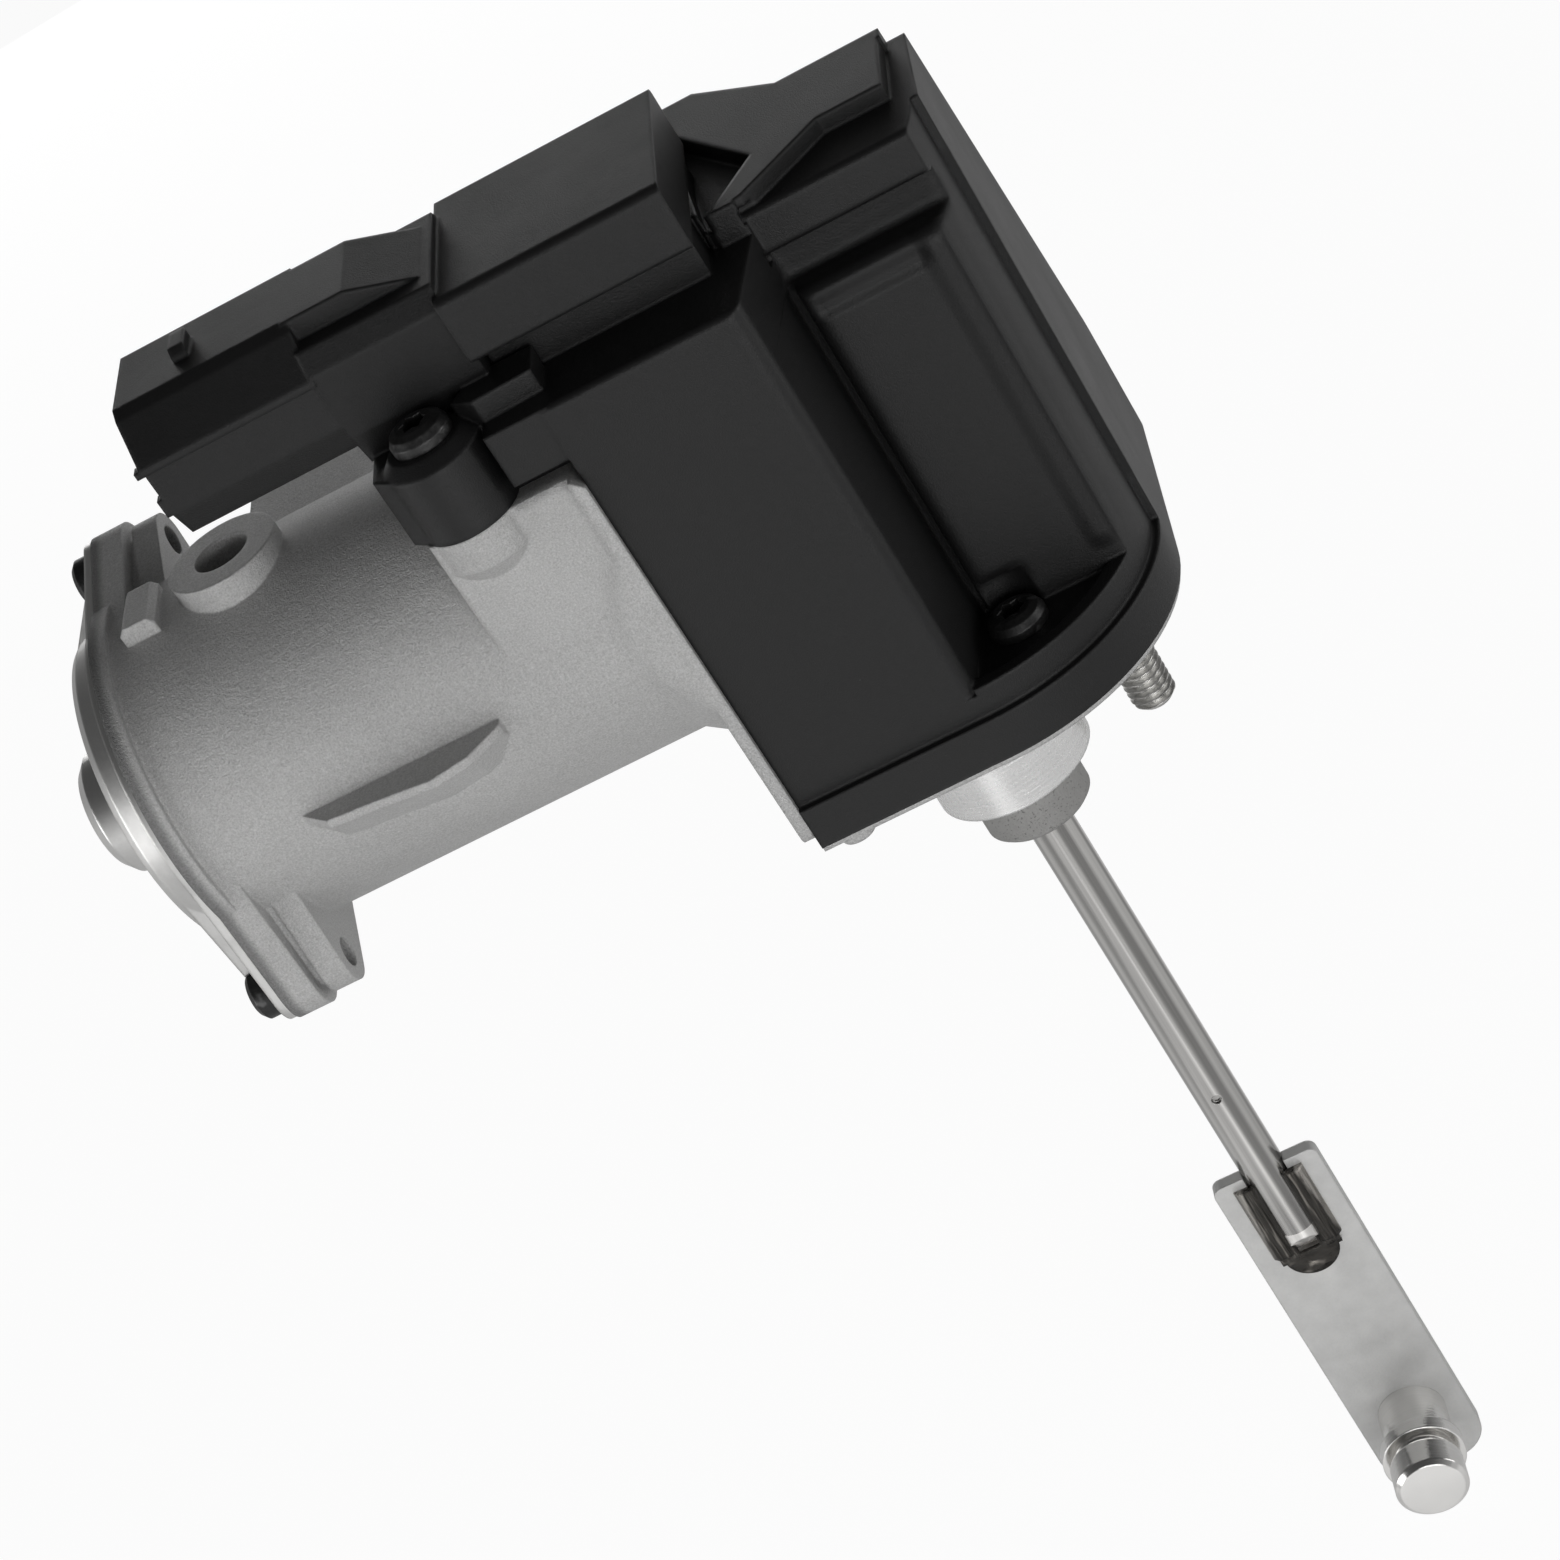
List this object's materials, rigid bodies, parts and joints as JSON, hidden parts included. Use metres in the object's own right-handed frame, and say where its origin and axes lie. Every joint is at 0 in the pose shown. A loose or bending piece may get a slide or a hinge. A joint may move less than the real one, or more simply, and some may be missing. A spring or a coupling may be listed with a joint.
{
  "type": "wastegate actuator",
  "caption": "Electric turbocharger wastegate actuator with a geared motor, a plug socket and a push rod ending in a plate with a lever pin.",
  "frame": {"origin": "where the push rod's axis meets the mounting face, which is the flat underside of the cast base plate", "axes": "+Z points into the gearbox, away from the lever end of the rod; +X runs along the motor from its end cap to the gearbox; -Y is the front with the lower cover screw"},
  "size_m": [0.1339, 0.0793, 0.2335],
  "materials": {
    "cast_aluminium": "grainy die cast",
    "black_plastic": "moulded, fine grain",
    "pressed_steel": "bright pressed sheet",
    "bright_steel": "drawn and ground",
    "plate_steel": "matt rolled plate",
    "weld_steel": "heat-darkened weld",
    "dark_steel": "black oxide",
    "sintered_bush": "sintered, oil filled",
    "seal_rubber": "moulded",
    "gear_steel": "sintered steel teeth",
    "gear_plastic": "natural nylon",
    "magnet_ferrite": "ferrite",
    "core_steel": "laminated",
    "copper": "enamelled copper",
    "carbon": "pressed carbon",
    "board_green": "solder resist",
    "terminal_tin": "tinned brass"
  },
  "bodies": {
    "base": {"housing": "cast_aluminium", "gearbox_cover": "black_plastic", "cover_gasket": "seal_rubber", "cover_screws": "dark_steel", "end_cap": "pressed_steel", "cap_seal": "seal_rubber", "cap_screws": "dark_steel", "motor_can": "pressed_steel", "magnets": "magnet_ferrite", "front_bearing": "bright_steel", "rear_bearing": "bright_steel", "brush_card": "gear_plastic", "brushes": "carbon", "gear_one_pin": "bright_steel", "gear_two_pin": "bright_steel", "output_bush": "sintered_bush", "rod_bush": "sintered_bush", "rod_seal": "seal_rubber", "mounting_studs": "bright_steel", "sensor_board": "board_green", "hall_chip": "carbon", "connector_terminals": "terminal_tin"},
    "rotor": {"motor_shaft": "bright_steel", "armature_core": "core_steel", "windings": "copper", "commutator": "copper", "motor_pinion": "gear_steel"},
    "first_gear": {"gear_one": "gear_plastic"},
    "second_gear": {"gear_two": "gear_plastic"},
    "output": {"output_gear": "gear_steel", "output_shaft": "bright_steel", "sensor_magnet": "magnet_ferrite"},
    "rod": {"push_rod": "bright_steel", "rack_carrier": "gear_steel", "carrier_pin": "bright_steel", "end_plate": "plate_steel", "weld_seam": "weld_steel", "lever_pin": "bright_steel"}
  },
  "joints": [
    {"name": "rod_slide", "type": "slide", "parent": "base", "child": "rod", "axis": [0, 0, 1], "range_m": [0, 0.012]},
    {"name": "motor_turn", "type": "hinge", "parent": "base", "child": "rotor", "pos_m": [-0.06, 0.0097, 0.0365], "axis": [1, 0, 0], "range_deg": [0, 2551.3]},
    {"name": "first_gear_turn", "type": "hinge", "parent": "base", "child": "first_gear", "pos_m": [-0.018, 0.0097, 0.0533], "axis": [1, 0, 0], "range_deg": [-771.4, 0]},
    {"name": "second_gear_turn", "type": "hinge", "parent": "base", "child": "second_gear", "pos_m": [-0.014, 0.01769, 0.03852], "axis": [1, 0, 0], "range_deg": [0, 286.6]},
    {"name": "output_turn", "type": "hinge", "parent": "base", "child": "output", "pos_m": [-0.01, 0.0097, 0.0215], "axis": [1, 0, 0], "range_deg": [-98.4, 0]}
  ],
  "couplings": [
    {"joint": "motor_turn", "follows": "rod_slide", "rad_per_m": 3710.6},
    {"joint": "first_gear_turn", "follows": "rod_slide", "rad_per_m": -1121.8},
    {"joint": "second_gear_turn", "follows": "rod_slide", "rad_per_m": 416.67},
    {"joint": "output_turn", "follows": "rod_slide", "rad_per_m": -142.86}
  ]
}
